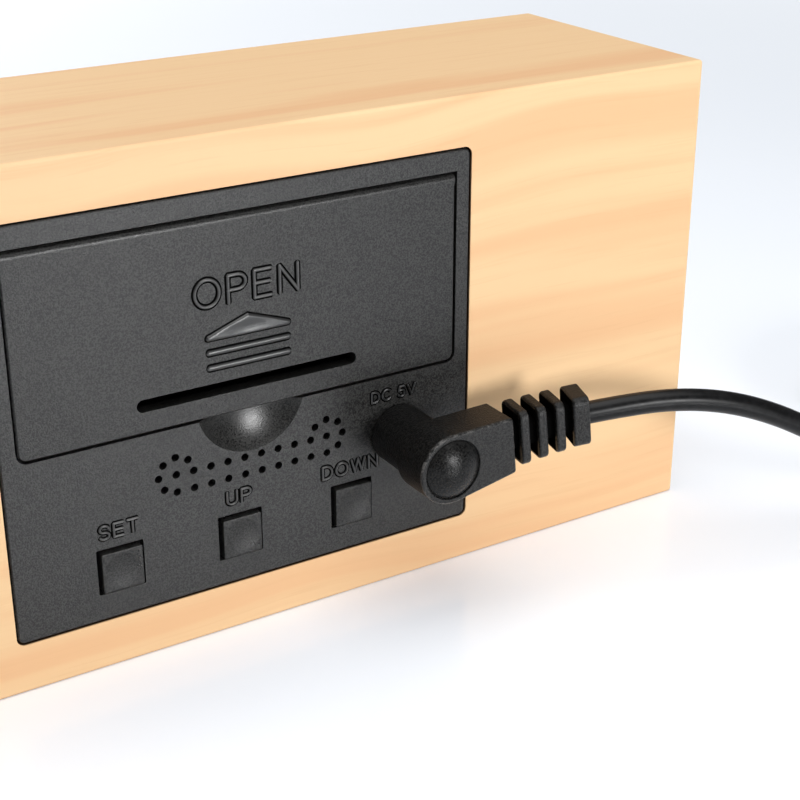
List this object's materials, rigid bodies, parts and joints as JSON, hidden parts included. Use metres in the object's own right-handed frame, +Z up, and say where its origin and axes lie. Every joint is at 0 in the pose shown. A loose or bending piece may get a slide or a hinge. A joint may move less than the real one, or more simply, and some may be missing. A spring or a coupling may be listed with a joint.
{
  "type": "wooden digital alarm clock",
  "caption": "Wooden block digital alarm clock with a veneered display face and a black rear panel holding a battery door, push buttons, sound holes and a plugged-in supply lead.",
  "frame": {"origin": "on the standing surface, under the middle of the wooden block", "axes": "+Z up; the display faces -Y and the control panel faces +Y; +X is to the right of someone facing the display"},
  "size_m": [0.2573, 0.0722, 0.07],
  "materials": {
    "maple": "satin film over pale wood grain",
    "maple_face": "satin film over pale wood grain",
    "pine": "raw",
    "panel_plastic": "fine spark texture",
    "door_plastic": "fine spark texture",
    "button_plastic": "fine texture",
    "contact_steel": "nickel plated",
    "screw_steel": "zinc plated",
    "switch_plastic": "moulded",
    "board_green": "solder mask",
    "chip_plastic": "moulded",
    "capacitor_can": "drawn can",
    "contact_brass": "plated",
    "socket_plastic": "moulded",
    "ribbon_grey": "flat cable",
    "mask_plastic": "moulded",
    "diffuser_white": "milky film",
    "led_white": "clear cap",
    "boot_plastic": "soft satin moulding",
    "plated_metal": "nickel plated",
    "liner_plastic": "moulded",
    "cord_jacket": "smooth satin",
    "tie_fabric": "hook and loop strap"
  },
  "bodies": {
    "clock": {"wooden_case": "maple", "front_veneer": "maple_face", "panel_cleats": "pine", "panel_screws": "screw_steel", "back_panel": "panel_plastic", "battery_plates": "contact_steel", "battery_springs": "contact_steel", "switch_bodies": "switch_plastic", "main_board": "board_green", "board_screws": "screw_steel", "controller_chip": "chip_plastic", "board_parts": "capacitor_can", "buzzer": "chip_plastic", "microphone": "capacitor_can", "dc_jack_body": "chip_plastic", "dc_jack_pin": "contact_brass", "dc_jack_leaf": "contact_steel", "ribbon_sockets": "socket_plastic", "ribbon_cable": "ribbon_grey", "segment_mask": "mask_plastic", "diffuser_film": "diffuser_white", "led_board": "board_green", "led_chips": "led_white"},
    "battery_door": {"battery_door": "door_plastic"},
    "set_button": {"set_button": "button_plastic", "set_plunger": "switch_plastic"},
    "up_button": {"up_button": "button_plastic", "up_plunger": "switch_plastic"},
    "down_button": {"down_button": "button_plastic", "down_plunger": "switch_plastic"},
    "supply_lead": {"plug_boot": "boot_plastic", "plug_barrel": "plated_metal", "plug_liner": "liner_plastic", "plug_contact": "contact_brass", "power_cord": "cord_jacket", "cord_coil": "cord_jacket", "cord_tail": "cord_jacket", "cord_tie": "tie_fabric", "usb_boot": "boot_plastic", "usb_shell": "plated_metal", "usb_tongue": "socket_plastic", "usb_contacts": "contact_brass"}
  },
  "joints": [
    {"name": "door_hinge", "type": "hinge", "parent": "clock", "child": "battery_door", "pos_m": [0, 0.0205, 0.05853], "axis": [1, 0, 0], "range_deg": [0, 60]},
    {"name": "set_press", "type": "slide", "parent": "clock", "child": "set_button", "axis": [0, -1, 0], "range_m": [0, 0.0004], "stiffness_N_per_m": 600},
    {"name": "up_press", "type": "slide", "parent": "clock", "child": "up_button", "axis": [0, -1, 0], "range_m": [0, 0.0004], "stiffness_N_per_m": 600},
    {"name": "down_press", "type": "slide", "parent": "clock", "child": "down_button", "axis": [0, -1, 0], "range_m": [0, 0.0004], "stiffness_N_per_m": 600},
    {"name": "plug_pull", "type": "slide", "parent": "clock", "child": "supply_lead", "axis": [0, 1, 0], "range_m": [0, 0.0105]}
  ]
}
